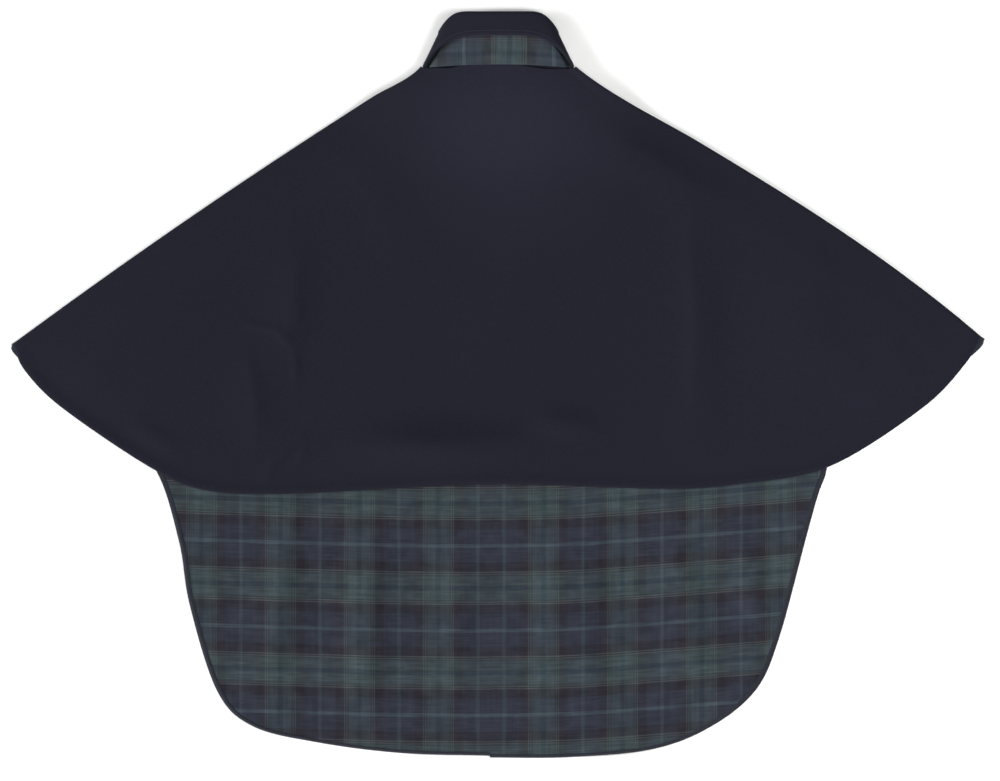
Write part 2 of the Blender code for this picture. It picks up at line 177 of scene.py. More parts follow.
# Large soft folds of the lining, and its finer creases
LINING_FOLDS = (
    Fold(-313, -300, 82, 150, 30, 2.0),
    Fold(-194, -330, 88, 160, 32, 2.2),
    Fold(-47, -330, 91, 150, 30, 1.6),
    Fold(96, -325, 88, 155, 32, 2.2),
    Fold(261, -315, 96, 150, 34, 2.2),
    Fold(352, -270, 104, 110, 24, 1.6),
)
LINING_CREASES = (
    Fold(-304, -310, 84, 190, 22, 6.4, bend=6),
    Fold(-184, -330, 89, 180, 25, 8.0, bend=-5),
    Fold(-52, -320, 92, 170, 20, 3.0, bend=4),
    Fold(75, -325, 87, 185, 24, 6.6, bend=-6),
    Fold(120, -325, 88, 185, 24, 6.6, bend=-6),
    Fold(258, -320, 97, 170, 24, 5.0, bend=8),
    Fold(350, -270, 105, 120, 18, 2.8, bend=5),
    Fold(92, -503, 72, 26, 5, 1.2),
    Fold(108, -505, 94, 24, 5, 1.4),
    Fold(125, -501, 108, 26, 5, 1.1),
    Fold(60, -500, 85, 30, 8, 0.8),
    Fold(-60, -498, 96, 28, 8, 0.7),
    Fold(-170, -490, 80, 30, 9, 0.8),
    Fold(190, -488, 100, 30, 9, 0.9),
    Fold(-300, -205, 60, 50, 12, 0.7),
    Fold(265, -470, 125, 45, 10, 1.0),
    Fold(330, -215, 118, 60, 14, 0.8),
    Fold(-392, -330, 74, 90, 12, 0.8),
    Fold(-30, -260, 88, 70, 16, 0.8),
)

# The folds fade out under the back, between two places up the lining, and in its last rows
RELIEF_ENDS = Span(start=-190, end=-155)
LINING_FLAT_ROWS = 0.06

# Places where the fronts' free edge lifts off the surface: x, y, radius and height
EDGE_LIFTS = (
    (-445, -255, 60, 2.5), (-330, -495, 70, 3.0), (-90, -530, 60, 2.0),
    (165, -530, 70, 3.0), (345, -450, 85, 4.5), (425, -240, 55, 2.5),
)

# Unevenness of laid cloth: wavelength and height of its two scales, and how far it shifts the folds
SLACK_WAVES = ((95, 0.45), (34, 0.12))
FOLD_WANDER = 7
FOLD_WANDER_WAVE = 110
BACK_SEED = 1
LINING_SEED = 40
WANDER_SEED_STEP = 7
SLACK_SEED_STEP = 20

# Turned edges: steps of the quarter round in degrees, its inner radius, the most that it takes of a
# shallow drop, and the gap left under it
TURN_STEPS = (30, 60, 90)
TURN_RADIUS = 0.7
TURN_SHARE = 0.6
TURN_CLEAR = 0.25

# The overarm's turn runs out by the wing tip, down to the least drop
TIP_TURN_ENDS = Span(start=0.9, end=0.98)
LEAST_DROP = 0.6

# How far the back's hem stands up, and how the cloth above it swells from the middle to the sides
HEM_RAISE = 1.7
HEM_RAISE_REACH = 16
HEM_SWELL = Span(start=0.6, end=2.4)
HEM_SWELL_REACH = 70

# Tartan: half of a symmetric repeat, as thread and share of the half's width
SETT = (
    ("pale", 0.042), ("navy", 0.346), ("black", 0.219), ("fine_pale", 0.027), ("black", 0.024),
    ("fine_pale", 0.027), ("fine_green", 0.037), ("green", 0.219), ("dark_green", 0.059),
)

# The weft dips in the middle of the lining: where it starts to rise on each side, and how steeply
WEFT_RISE = {-1: (124, 0.03), 1: (94, 0.079)}
WEFT_RISE_SOFTNESS = 60
WEFT_PALE_Y = -225.6
WARP_PALE_FROM_MEETING = 18.2
MEETING_X = -10.4

# The collar's strip of tartan is cut across the lining's grain
COLLAR_SETT_CENTRE = 14.8
COLLAR_SETT_STRETCH = 1.06
COLLAR_BAND_OFFSET = 40

# A stitch: places along it, how thick the thread is there and how far it stands up, both in radii
STITCH_RINGS = ((-0.5, 0.3, -0.5), (-0.32, 1, 0.35), (0.32, 1, 0.35), (0.5, 0.3, -0.5))
STITCH_SIDES = 6

# Soft rim of a wall of cloth: the least angle in degrees that is rounded, and the rim's steps
RIM_ANGLE = 60
RIM_STEPS = 2

# Shader textures: a diagonal wave repeats every 0.444 / scale, and most noise lies in this range
WAVE_REPEAT = 0.444
NOISE_RANGE = Span(start=0.25, end=0.75)


def linear(colour):
    """An sRGB hex colour as linear red, green and blue."""
    channels = [int(colour[i:i + 2], 16) / 255 for i in (1, 3, 5)]
    return tuple(c / 12.92 if c <= 0.04045 else ((c + 0.055) / 1.055) ** 2.4 for c in channels)


def length_value(name, description, size):
    """A length of the add-on, from mm."""
    return FloatProperty(name=name, description=description, default=size * MM, unit="LENGTH")


def power_value(name, description, watts):
    """A lamp's power of the add-on."""
    return FloatProperty(name=name, description=description, default=watts, unit="POWER")


def colour_value(name, description, colour):
    """A colour of the add-on, from sRGB hex."""
    return FloatVectorProperty(
        name=name, description=description, default=linear(colour), subtype="COLOR")


class CapeCloth(bpy.types.PropertyGroup):
    """Thickness of the cloths and sizes of their edges and stitches."""

    back: length_value("Back", "Thickness of the back's cloth", 1.6)
    shell: length_value("Fronts", "Thickness of the fronts' shell", 1.4)
    lining: length_value("Lining", "Thickness of the lining and binding", 1.0)
    collar: length_value("Collar", "Thickness of each collar piece", 1.2)
    binding_at_hem: length_value("Binding at hem", "Width of the bound edge along the hem", 4)
    binding_at_side: length_value("Binding at side", "Width of the bound edge up the sides", 7)
    binding_crown: length_value("Binding crown", "How far the bound edge is rounded up", 0.9)
    stitch: length_value("Stitch", "Length of one stitch that shows", 3.2)
    stitch_gap: length_value("Stitch gap", "Cloth between two stitches", 0.9)
    thread: length_value("Thread", "Radius of the sewing thread", 0.3)
    collar_stitch: length_value("Collar stitch", "Stitching's distance from the collar's edge", 7)


class CapeColours(bpy.types.PropertyGroup):
    """Colours of the cloths and threads."""

    navy: colour_value("Navy", "Back, fronts and collar", "#191924")
    binding: colour_value("Binding", "Bound edge", "#23252D")
    thread: colour_value("Thread", "Stitching", "#22232D")
    tartan_pale: colour_value("Tartan pale", "Pale line", "#38414A")
    tartan_fine_pale: colour_value("Tartan fine pale", "Fine line by the green", "#3F4444")
    tartan_navy: colour_value("Tartan navy", "Blue ground", "#2A2D37")
    tartan_black: colour_value("Tartan black", "Black band", "#26242A")
    tartan_green: colour_value("Tartan green", "Green band", "#364043")
    tartan_fine_green: colour_value("Tartan fine green", "Green band's edge", "#2D3437")
    tartan_dark_green: colour_value("Tartan dark green", "Dark line in the green", "#2A343A")


class CapeTartan(bpy.types.PropertyGroup):
    """Size of the tartan's repeat."""

    warp_repeat: length_value("Warp repeat", "Width of one repeat across the lining", 110.6)
    weft_repeat: length_value("Weft repeat", "Height of one repeat down the lining", 118.6)


class CapeStage(bpy.types.PropertyGroup):
    """Camera, lights and floor."""

    view_width: length_value("View width", "Width of the surface that the camera sees", 1400)
    lens: FloatProperty(name="Lens", description="Focal length", default=250, unit="CAMERA")
    floor: colour_value("Floor", "Paper that the cape lies on", "#FDFDFC")
    left_light: power_value("Left light", "Power of the lamp at the left", 292)
    right_light: power_value("Right light", "Power of the lamp at the right", 30)
    hem_light: power_value("Hem light", "Power of the lamp beyond the hem", 232)
    neck_light: power_value("Neck light", "Power of the soft spot over the neck", 34)
    sky: FloatProperty(
        name="Room light", description="Strength of the light from all round", default=0.2)


def smooth(share):
    """0 below 0, 1 above 1 and a soft step between them."""
    share = np.clip(share, 0, 1)
    return share * share * (3 - 2 * share)


def fade(distance, hold, reach):
    """1 up to hold, then softly down to 0 at reach."""
    return 1 - smooth((distance - hold) / (reach - hold))


def arch(share):
    """0 at both ends and 1 midway."""
    return 4 * share * (1 - share)


def early_arch(share):
    """0 at both ends and beyond them, and 1 a third of the way along, which takes a factor of 27/4."""
    share = np.clip(share, 0, 1)
    return 27 / 4 * share * (1 - share) ** 2


def length_of(vectors):
    """Length of each vector."""
    return np.linalg.norm(vectors, axis=-1)


def unit(vectors):
    """Each vector at length 1."""
    return vectors / length_of(vectors)[..., None]


def run_lengths(points, axis=0):
    """Lengths along rows of points, from 0 at the first."""
    steps = length_of(np.diff(points, axis=axis))
    return np.insert(np.cumsum(steps, axis=axis), 0, 0, axis=axis)


def read_along(values, known, wanted):
    """Rows of values that are known at some places along a line, read at others."""
    return np.stack([np.interp(wanted, known, column) for column in values.T], axis=-1)


class SmoothPath:
    """A smooth curve through a few points, read by the share of its length."""

    STEPS = 16
    NORMAL_STEP = 0.004

    def __init__(self, points):
        points = np.array(points, dtype=float)
        padded = np.vstack([2 * points[0] - points[1], points, 2 * points[-1] - points[-2]])
        samples = []
        for a, b, c, d in zip(padded, padded[1:], padded[2:], padded[3:]):
            for step in range(self.STEPS):
                t = step / self.STEPS
                samples.append(
                    b + 0.5 * t * (c - a + t * (2 * a - 5 * b + 4 * c - d + t * (3 * (b - c) + d - a)))
                )
        samples.append(points[-1])
        self.points = np.array(samples)
        steps = length_of(np.diff(self.points, axis=0))
        self.shares = np.concatenate([[0], np.cumsum(steps)]) / steps.sum()

    def at(self, share):
        """The points at shares of the length."""
        return read_along(self.points, self.shares, share)

    def normal(self, share):
        """Unit vectors to the right of the path at shares of its length."""
        ahead = self.at(np.minimum(share + self.NORMAL_STEP, 1))
        behind = self.at(np.maximum(share - self.NORMAL_STEP, 0))
        along = unit(ahead - behind)
        return np.stack([along[..., 1], -along[..., 0]], axis=-1)


def uneven(x, y, wavelength, seed):
    """Soft random values of about -1 to 1, the same on each run."""
    level = np.full_like(x, seed)
    points = np.stack([x / wavelength, y / wavelength, level], axis=-1).reshape(-1, 3)
    return np.array([noise.noise(Vector(point)) for point in points]).reshape(x.shape)


def relief(x, y, folds):
    """Height that the soft ridges of a table add."""
    height = np.zeros_like(x)
    for fold in folds:
        turn = math.radians(fold.angle)
        along = (x - fold.x) * math.cos(turn) + (y - fold.y) * math.sin(turn)
        along = along / fold.half_length
        across = (y - fold.y) * math.cos(turn) - (x - fold.x) * math.sin(turn) - fold.bend * along ** 2
        ends = np.clip(1 - along ** 2, 0, None) ** 2
        height += fold.height * ends * np.exp(-(across / fold.half_width) ** 2)
    return height


def laid_relief(x, y, folds, creases, seed):
    """Folds and creases that wander a little, with the slack of cloth that was laid out by hand."""
    wander_x = x + FOLD_WANDER * uneven(x, y, FOLD_WANDER_WAVE, seed)
    wander_y = y + FOLD_WANDER * uneven(x, y, FOLD_WANDER_WAVE, seed + WANDER_SEED_STEP)
    height = relief(wander_x, wander_y, folds + creases)
    for number, (wavelength, slack) in enumerate(SLACK_WAVES):
        height += slack * (1 + uneven(x, y, wavelength, seed + SLACK_SEED_STEP + number)) / 2
    return height


def edge_lift(x, y):
    """How far the fronts' free edge is off the surface."""
    height = np.zeros_like(x)
    for lift_x, lift_y, radius, lift in EDGE_LIFTS:
        height += lift * (1 - smooth(np.hypot(x - lift_x, y - lift_y) / radius))
    return height


def seam_outward(side):
    """The unit vector square to an overarm seam, away from the cape."""
    reach = WING_TIP[side] - SHOULDER * (side, 1)
    return unit(np.array([-reach[1], reach[0]]) * side)


def overarm_bow(side, along, inset):
    """How far, as x and y, the overarm seam bows out past its dip by the neck, less an inset."""
    bulge = OVERARM_BULGE[side] * arch(along ** OVERARM_BULGE_SKEW[side])
    bulge = bulge - OVERARM_DIP * early_arch(along / OVERARM_DIP_REACH[side]) - inset
    return bulge[..., None] * seam_outward(side)


def near_neck_point(across):
    """1 at both ends of the back's neck edge and 0 along the rest of it."""
    return 1 - fade(np.abs(across), *NECK_POINT)


def neck_back_edge(across):
    """The back's neck edge at -1 (left) to 1 (right). Its ends run up beside the collar."""
    x = across * BACK_NECK_END
    y = NECK_SEAM.back - (NECK_SEAM.back - NECK_SEAM.side) * (x / NECK_HALF_WIDTH) ** 2 - BACK_NECK_GAP
    y = y + NECK_POINT_RISE * near_neck_point(across)
    for sag_x, half_width, depth in BACK_NECK_SAGS:
        y = y - depth * np.exp(-((x - sag_x) / half_width) ** 2)
    return np.stack([x, y], axis=-1)


def neck_front_path(side):
    """The neck edge of a front, from the meeting edge to the shoulder."""
    turn = np.radians(FRONT_NECK_ANGLES)
    clear = FRONT_NECK_GAP + FRONT_NECK_SIDE_GAP * np.sin(turn)
    x = (NECK_HALF_WIDTH + clear) * np.sin(turn) + MEETING_GAP
    y = NECK_SEAM.side - (NECK_SEAM.side - NECK_SEAM.front) * np.cos(turn) ** 2 - clear
    return SmoothPath([*zip(side * x, y), SHOULDER * (side, 1)])


def turned_edge(edge, outward, drop):
    """Rows that carry on from an edge and turn down: a quarter round, then straight down to drop."""
    radius = np.minimum(TURN_RADIUS, TURN_SHARE * drop)
    rows = []
    for degrees in TURN_STEPS:
        turn = math.radians(degrees)
        plan = edge[:, :2] + outward * (radius * math.sin(turn))[:, None]
        rows.append(np.column_stack([plan, edge[:, 2] - radius * (1 - math.cos(turn))]))
    rows.append(np.column_stack([rows[-1][:, :2], edge[:, 2] - drop]))
    return np.stack(rows)


class BackShape:
    """The back: rays run from the neck edge down to the hem."""

    def __init__(self, thickness):
        self.hem = SmoothPath(BACK_HEM)
        self.inset = thickness + TURN_RADIUS

    def plan(self, across, down):
        """Points at -1 (left seam) to 1 (right seam) and 0 (neck) to 1 (hem)."""
        neck = neck_back_edge(across)
        hem = self.hem.at((across + 1) / 2)
        bow = np.clip(1 - (1 - np.abs(across)) / BACK_BOW_SPREAD, 0, 1) ** 2
        right = (across > 0)[..., None]
        bulge = np.where(right, overarm_bow(1, down, self.inset), overarm_bow(-1, down, self.inset))
        return neck + (hem - neck) * down[..., None] + bow[..., None] * bulge

    def underside(self, across, down):
        """The same points with their height, on the lower face of the cloth."""
        plan = self.plan(across, down)
        x, y = plan[..., 0], plan[..., 1]
        from_neck = length_of(plan - neck_back_edge(across))
        from_seam = length_of(plan - self.plan(np.where(across > 0, 1.0, -1.0), down))
        from_hem = length_of(plan - self.hem.at((across + 1) / 2))
        middle = 1 - across ** 2
        reach = BACK_CROWN_REACH_SIDE + middle * (BACK_CROWN_REACH_MIDDLE - BACK_CROWN_REACH_SIDE)
        near_neck = fade(from_neck, BACK_CROWN_HOLD, reach)
        at_neck = BACK_SHOULDER_HEIGHT + BACK_NECK_CROWN * middle
        at_neck += NECK_POINT_LIFT * near_neck_point(across)
        flat = smooth(from_seam / SEAM_FLAT)
        at_rest = BACK_REST + laid_relief(x, y, BACK_FOLDS, BACK_CREASES, BACK_SEED) * flat
        at_rest += HEM_RAISE * fade(from_hem, 0, HEM_RAISE_REACH) * flat
        swell = HEM_SWELL.start + (HEM_SWELL.end - HEM_SWELL.start) * across ** 2
        at_rest += swell * smooth(from_hem / HEM_SWELL_REACH) * flat
        return np.dstack([x, y, at_rest + (at_neck - at_rest) * near_neck])

    def seam_drop(self, seam, down):
        """How far down the seam's edge turns, to just off the outside of the front below it."""
        from_neck = length_of(seam[:, :2] - seam[0, :2])
        front = (FRONT_NECK_LIFT + FRONT_SHOULDER_LIFT) * fade(from_neck, *FRONT_LIFT)
        full = seam[:, 2] - front - TURN_CLEAR
        return np.maximum(LEAST_DROP, full * fade(down, *TIP_TURN_ENDS))

    def sheet(self, columns, rows):
        """The whole lower face, with the hem and both seams turned down."""
        across, down = np.meshgrid(np.linspace(-1, 1, columns), np.linspace(0, 1, rows))
        grid = self.underside(across, down)
        shares = (across[0] + 1) / 2
        hem = turned_edge(grid[-1], self.hem.normal(shares), np.full(columns, HEM_RAISE))
        grid = np.concatenate([grid, hem])
        down = np.concatenate([down[:, 0], np.ones(len(hem))])
        for side, column in ((-1, 0), (1, -1)):
            seam = grid[:, column]
            turned = turned_edge(seam, seam_outward(side), self.seam_drop(seam, down)).swapaxes(0, 1)
            parts = [grid, turned] if side > 0 else [turned[:, ::-1], grid]
            grid = np.concatenate(parts, axis=1)
        return grid


class FrontShape:
    """One front: rays run from its neck edge down to its outer edge.

    A place on it is a share, 0 (meeting edge) to 1 (overarm seam), and a row: 0 (neck) to 1 (edge of
    the lining), then on to 2 (outer edge) across the bound edge.
    """

    def __init__(self, side, cloth):
        self.side = side
        self.neck = neck_front_path(side)
        self.edge = SmoothPath(FRONT_EDGE[side])
        self.shell_thick = cloth.shell / MM
        self.lining_thick = cloth.lining / MM
        self.binding_widths = Span(cloth.binding_at_hem / MM, cloth.binding_at_side / MM)
        self.crown = cloth.binding_crown / MM
        self.seam_inset = cloth.back / MM + SEAM_GAP
        self.edge_inset = self.lining_thick + TURN_RADIUS

    def binding_width(self, share):
        """Width of the bound edge at shares of the outer edge."""
        narrow, wide = self.binding_widths
        return wide + (narrow - wide) * fade(self.edge.at(share)[..., 1], *BINDING_WIDENS)

    def inward(self, share):
        """Directions in from the outer edge, which turn along the seam at the wing tip."""
        square = -self.side * self.edge.normal(share)
        seam = unit(SHOULDER * (self.side, 1) - WING_TIP[self.side])
        return square + (seam - square) * smooth((share - TIP_TURN) / (1 - TIP_TURN))[..., None]

    def plan(self, share, row):
        """Places as x and y."""
        binding = self.binding_width(share)
        past = np.clip(row - 1, 0, 1)
        inset = np.where(row > 1, binding + (self.edge_inset - binding) * past, binding + SEAM_GAP)
        down = np.minimum(row, 1)
        neck = self.neck.at(share)
        outer = self.edge.at(share) + inset[..., None] * self.inward(share)
        bow = np.clip(1 - (1 - share) / FRONT_BOW_SPREAD, 0, 1) ** 2
        point = neck + (outer - neck) * down[..., None]
        point += bow[..., None] * overarm_bow(self.side, down, self.seam_inset)
        point[..., 0] += self.side * MEETING_GAP * np.clip(1 - share / MEETING_SPREAD, 0, 1)
        return point

    def shell(self, share, row):
        """Points of the shell's lower face: flat but for its free edge and its neck."""
        plan = self.plan(share, row)
        from_neck = length_of(plan - self.neck.at(share))
        lift = FRONT_NECK_LIFT + FRONT_SHOULDER_LIFT * share ** SHOULDER_LIFT_POWER
        height = edge_lift(plan[..., 0], plan[..., 1]) + lift * fade(from_neck, *FRONT_LIFT)
        return np.dstack([plan, height])

    def lining(self, share, row):
        """Points of the lining's lower face: the shell's, moved up, with folds where it shows."""
        points = self.shell(share, row)
        x, y = points[..., 0], points[..., 1]
        inside = smooth((1 - row) / LINING_FLAT_ROWS) * smooth(share / MEETING_SPREAD)
        folds = laid_relief(x, y, LINING_FOLDS, LINING_CREASES, LINING_SEED)
        points[..., 2] += self.shell_thick + SEAM_GAP + folds * inside * fade(y, *RELIEF_ENDS)
        return points

    def lining_cut(self, points):
        """Where the lining's points were on the tartan, measured from a pale line each way."""
        x, y = points[..., 0], points[..., 1]
        start, slope = WEFT_RISE[self.side]
        past = self.side * x - start
        rise = slope * (past + np.hypot(past, WEFT_RISE_SOFTNESS)) / 2
        return np.dstack([self.side * (x - MEETING_X) - WARP_PALE_FROM_MEETING, y - rise - WEFT_PALE_Y])

    def binding(self, share, row):
        """Points of the bound edge's lower face: the shell's, moved up, crowned where it shows."""
        points = self.shell(share, row)
        crown = self.crown * fade(points[..., 1], *RELIEF_ENDS) * arch(np.clip(row - 1, 0, 1))
        points[..., 2] += self.shell_thick + SEAM_GAP + crown
        return points

    def binding_sheet(self, shares, rows):
        """The bound edge's lower face, with its outer edge turned down round the shell's."""
        share, row = np.meshgrid(shares, rows)
        grid = self.binding(share, row)
        drop = np.full(len(shares), self.shell_thick + SEAM_GAP - TURN_CLEAR)
        return np.concatenate([grid, turned_edge(grid[-1], -self.inward(shares), drop)])


class CollarShape:
    """The collar: a stand up from the neck seam, a roll at its fold and a fall down outside it."""

    def __init__(self, edge_inset):
        self.edge = Around(*(size + edge_inset for size in COLLAR_EDGE))

    @staticmethod
    def ring(sizes, cosine, squareness=2):
        """A size read round the neck: steep past the sides, level at the back and the front."""
        back = sizes.side + (sizes.back - sizes.side) * (1 - (1 - cosine) ** squareness)
        front = sizes.side + (sizes.front - sizes.side) * cosine ** 2
        return np.where(cosine > 0, back, front)

    def fold(self, cosine):
        """How far up the fold runs: its corners at the back are squarer than the fall's edge."""
        return self.ring(COLLAR_FOLD, cosine, COLLAR_FOLD_SQUARENESS)

    @staticmethod
    def level_height(sizes, level):
        """A height of the flattened ring between its side and its back or front."""
        end = np.where(level > 0, sizes.back, sizes.front)
        return sizes.side + (end - sizes.side) * np.abs(level)

    @staticmethod
    def seam(cosine):
        """How far up the neck seam runs."""
        end = np.where(cosine > 0, NECK_SEAM.back, NECK_SEAM.front)
        return NECK_SEAM.side + (end - NECK_SEAM.side) * cosine ** 2

    def place(self, angle, y, standoff):
        """Points at angles round the neck, up at y, and off the stand by standoff."""
        sine, cosine = np.sin(np.radians(angle)), np.cos(np.radians(angle))
        level = np.copysign(np.abs(cosine) ** RING_FLATNESS, cosine)
        seam = self.seam(cosine)
        up = np.clip((y - seam) / (self.fold(cosine) - seam), 0, 1)
        low = self.level_height(NECK_SEAM_HEIGHT, level)
        high = self.level_height(COLLAR_FOLD_HEIGHT, level)
        half_width = NECK_HALF_WIDTH - COLLAR_TAPER * np.clip(y - NECK_SEAM.side, 0, None)
        x = (half_width + standoff) * sine
        return np.stack([x, y, low + (high - low) * up + standoff * level], axis=-1)

    @staticmethod
    def tuck(angle):
        """How far in the stand leans at its fold: only at its sides."""
        return -STAND_TUCK * np.sin(np.radians(angle)) ** STAND_TUCK_POWER

    def stand(self, angle, share):
        """Midway between the two pieces, on the stand: 0 (seam) to 1 (fold)."""
        cosine = np.cos(np.radians(angle))
        seam = self.seam(cosine)
        return self.place(angle, seam + (self.fold(cosine) - seam) * share, self.tuck(angle) * share)

    def roll(self, angle, share):
        """Midway between the two pieces, over the fold: 0 (stand) to 1 (fall)."""
        cosine = np.cos(np.radians(angle))
        fold = self.fold(cosine)
        tuck = self.tuck(angle)
        standoff = self.ring(FALL_STANDOFF, cosine)
        over = tuck + (standoff - tuck) * (1 - np.cos(math.pi * share)) / 2
        points = self.place(angle, fold, over)
        points[..., 1] += standoff * self.ring(ROLL_DEPTH, cosine) * np.sin(math.pi * share)
        return points

    def fall(self, angle, share):
        """Midway between the two pieces, on the fall: 0 (fold) to 1 (free edge)."""
        cosine = np.cos(np.radians(angle))
        fold = self.fold(cosine)
        edge = self.ring(self.edge, cosine)
        return self.place(angle, fold + (edge - fold) * share, self.ring(FALL_STANDOFF, cosine))

    def middle(self, angles, stand_rows, roll_rows, fall_rows):
        """The whole surface midway between the two pieces, from the neck seam to the free edge."""
        parts = []
        for part, shares in (
            (self.stand, np.linspace(0, 1, stand_rows)),
            (self.roll, np.linspace(0, 1, roll_rows)[1:-1]),
            (self.fall, np.linspace(0, 1, fall_rows)),
        ):
            angle, share = np.meshgrid(angles, shares)
            parts.append(part(angle, share))
        return np.concatenate(parts)


def grid_normals(grid):
    """Unit normals of a grid of points, by its columns and then its rows."""
    return unit(np.cross(np.gradient(grid, axis=1), np.gradient(grid, axis=0)))


def add_node(tree, kind, settings, inputs):
    """A node with its settings, and with each input set to a value or linked from a socket."""
    node = tree.nodes.new(kind)
    for name, value in settings.items():
        setattr(node, name, value)
    for key, value in inputs.items():
        if isinstance(value, bpy.types.NodeSocket):
            tree.links.new(value, node.inputs[key])
        else:
            node.inputs[key].default_value = value
    return node


def new_material(name):
    """A new material, its tree and its shader."""
    material = bpy.data.materials.new(name)
    material.use_nodes = True
    return material, material.node_tree, material.node_tree.nodes["Principled BSDF"]


def shared(make, name, *values):
    """The material of a name, made once for all the pieces that have it."""
    return bpy.data.materials.get(name) or make(name, *values)


def object_place(tree):
    """Places on a piece's own axes, in metres."""
    return add_node(tree, "ShaderNodeTexCoord", {}, {}).outputs["Object"]


def patches(tree, place, size, detail, roughness=0.5):
    """Soft random values in patches of a size in mm."""
    values = {"Vector": place, "Scale": 1 / (size * MM), "Detail": detail, "Roughness": roughness}
    return add_node(tree, "ShaderNodeTexNoise", {}, values).outputs["Fac"]


def ribs(tree, place, pitch, distortion):
    """Values that rise and fall in slanting ribs at a pitch in mm."""
    values = {"Vector": place, "Scale": WAVE_REPEAT / (pitch * MM), "Distortion": distortion}
    return add_node(tree, "ShaderNodeTexWave", {"bands_direction": "DIAGONAL"}, values).outputs["Fac"]


def emboss(tree, shader, height, strength, depth):
    """Shade a surface as if values stood up from it by a depth in mm."""
    values = {"Strength": strength, "Distance": depth * MM, "Height": height}
    bump = add_node(tree, "ShaderNodeBump", {}, values)
    tree.links.new(bump.outputs["Normal"], shader.inputs["Normal"])


def set_cloth(shader, roughness, specular, sheen, sheen_roughness):
    """Finish of a cloth that is the same all over it."""
    shader.inputs["Metallic"].default_value = 0
    shader.inputs["IOR"].default_value = 1.5
    shader.inputs["Roughness"].default_value = roughness
    shader.inputs["Specular IOR Level"].default_value = specular
    shader.inputs["Sheen Weight"].default_value = sheen
    shader.inputs["Sheen Roughness"].default_value = sheen_roughness


def two_tones(tree, colour, spread, value):
    """A colour that goes from darker to lighter by a share of itself, as a value goes from 0 to 1."""
    ramp = add_node(tree, "ShaderNodeValToRGB", {}, {"Fac": value})
    tones = (1 - spread, 1 + spread)
    for element, position, tone in zip(ramp.color_ramp.elements, NOISE_RANGE, tones):
        element.position = position
        element.color = (*(tone * channel for channel in colour), 1)
    return ramp.outputs["Color"]


def navy_melton(name, colour):
    """Wool melton, milled and shorn: the nap hides the weave, so it is matt and faintly mottled."""
    material, tree, shader = new_material(name)
    place = object_place(tree)
    # Clumps of nap are about 1.8 mm across and its fibres 0.05 mm, drawn here as 0.4 mm to show
    clumps = patches(tree, place, 1.8, detail=4, roughness=0.8)
    fibres = patches(tree, place, 0.4, detail=3)
    tree.links.new(two_tones(tree, colour, 0.4, clumps), shader.inputs["Base Color"])
    emboss(tree, shader, fibres, strength=0.5, depth=0.3)
    set_cloth(shader, roughness=0.9, specular=0.1, sheen=0.02, sheen_roughness=0.5)
    return material


def navy_tape(name, colour):
    """Woven cotton tape: fine ribs slant across it and it is a little smoother than the melton."""
    material, tree, shader = new_material(name)
    place = object_place(tree)
    mottle = patches(tree, place, 6, detail=4)
    tree.links.new(two_tones(tree, colour, 0.12, mottle), shader.inputs["Base Color"])
    # Ribs are 0.6 mm apart, drawn here as 1.5 mm to show
    emboss(tree, shader, ribs(tree, place, 1.5, distortion=1.5), strength=0.3, depth=0.2)
    set_cloth(shader, roughness=0.75, specular=0.15, sheen=0.02, sheen_roughness=0.4)
    return material


def navy_thread(name, colour):
    """Spun polyester thread: two plies twist round each other and catch a little more light. The
    lighter and darker bands along the twist are painted light and shade of the plies' turns.
    """
    material, tree, shader = new_material(name)
    # The plies cross every 0.8 mm. Their lit and shaded sides are painted into the colour as lighter
    # and darker bands.
    twist = ribs(tree, object_place(tree), 0.8, distortion=1)
    tree.links.new(two_tones(tree, colour, 0.25, twist), shader.inputs["Base Color"])
    set_cloth(shader, roughness=0.55, specular=0.35, sheen=0.02, sheen_roughness=0.4)
    return material


def streaked(tree, colour, place, width, height, spread):
    """A colour made darker and lighter by up to a share of itself, in patches of a size in mm."""
    size = (width * MM, height * MM, 1)
    patch = add_node(tree, "ShaderNodeVectorMath", {"operation": "DIVIDE"}, {0: place, 1: size})
    values = {"Vector": patch.outputs[0], "Scale": 1, "Detail": 3}
    value = add_node(tree, "ShaderNodeTexNoise", {}, values).outputs["Fac"]
    strength = add_node(
        tree, "ShaderNodeMapRange", {},
        {"Value": value, "From Min": NOISE_RANGE.start, "From Max": NOISE_RANGE.end,
         "To Min": 1 - spread, "To Max": 1 + spread},
    )
    scaled = add_node(
        tree, "ShaderNodeVectorMath", {"operation": "SCALE"}, {0: colour, "Scale": strength.outputs[0]})
    return scaled.outputs[0]


def sett_colour(tree, colours, place, repeat):
    """The thread's colour at a place, in metres, along a tartan's repeat."""
    halves = add_node(tree, "ShaderNodeMath", {"operation": "DIVIDE"}, {0: place, 1: repeat / 2})
    share = add_node(tree, "ShaderNodeMath", {"operation": "PINGPONG"}, {0: halves.outputs[0], 1: 1})
    ramp = add_node(tree, "ShaderNodeValToRGB", {}, {"Fac": share.outputs[0]})
    stripes = ramp.color_ramp
    stripes.interpolation = "CONSTANT"
    while len(stripes.elements) < len(SETT):
        stripes.elements.new(1)
    position = 0
    for element, (thread, width) in zip(stripes.elements, SETT):
        element.position = position
        element.color = (*getattr(colours, "tartan_" + thread), 1)
        position += width
    return ramp.outputs["Color"]


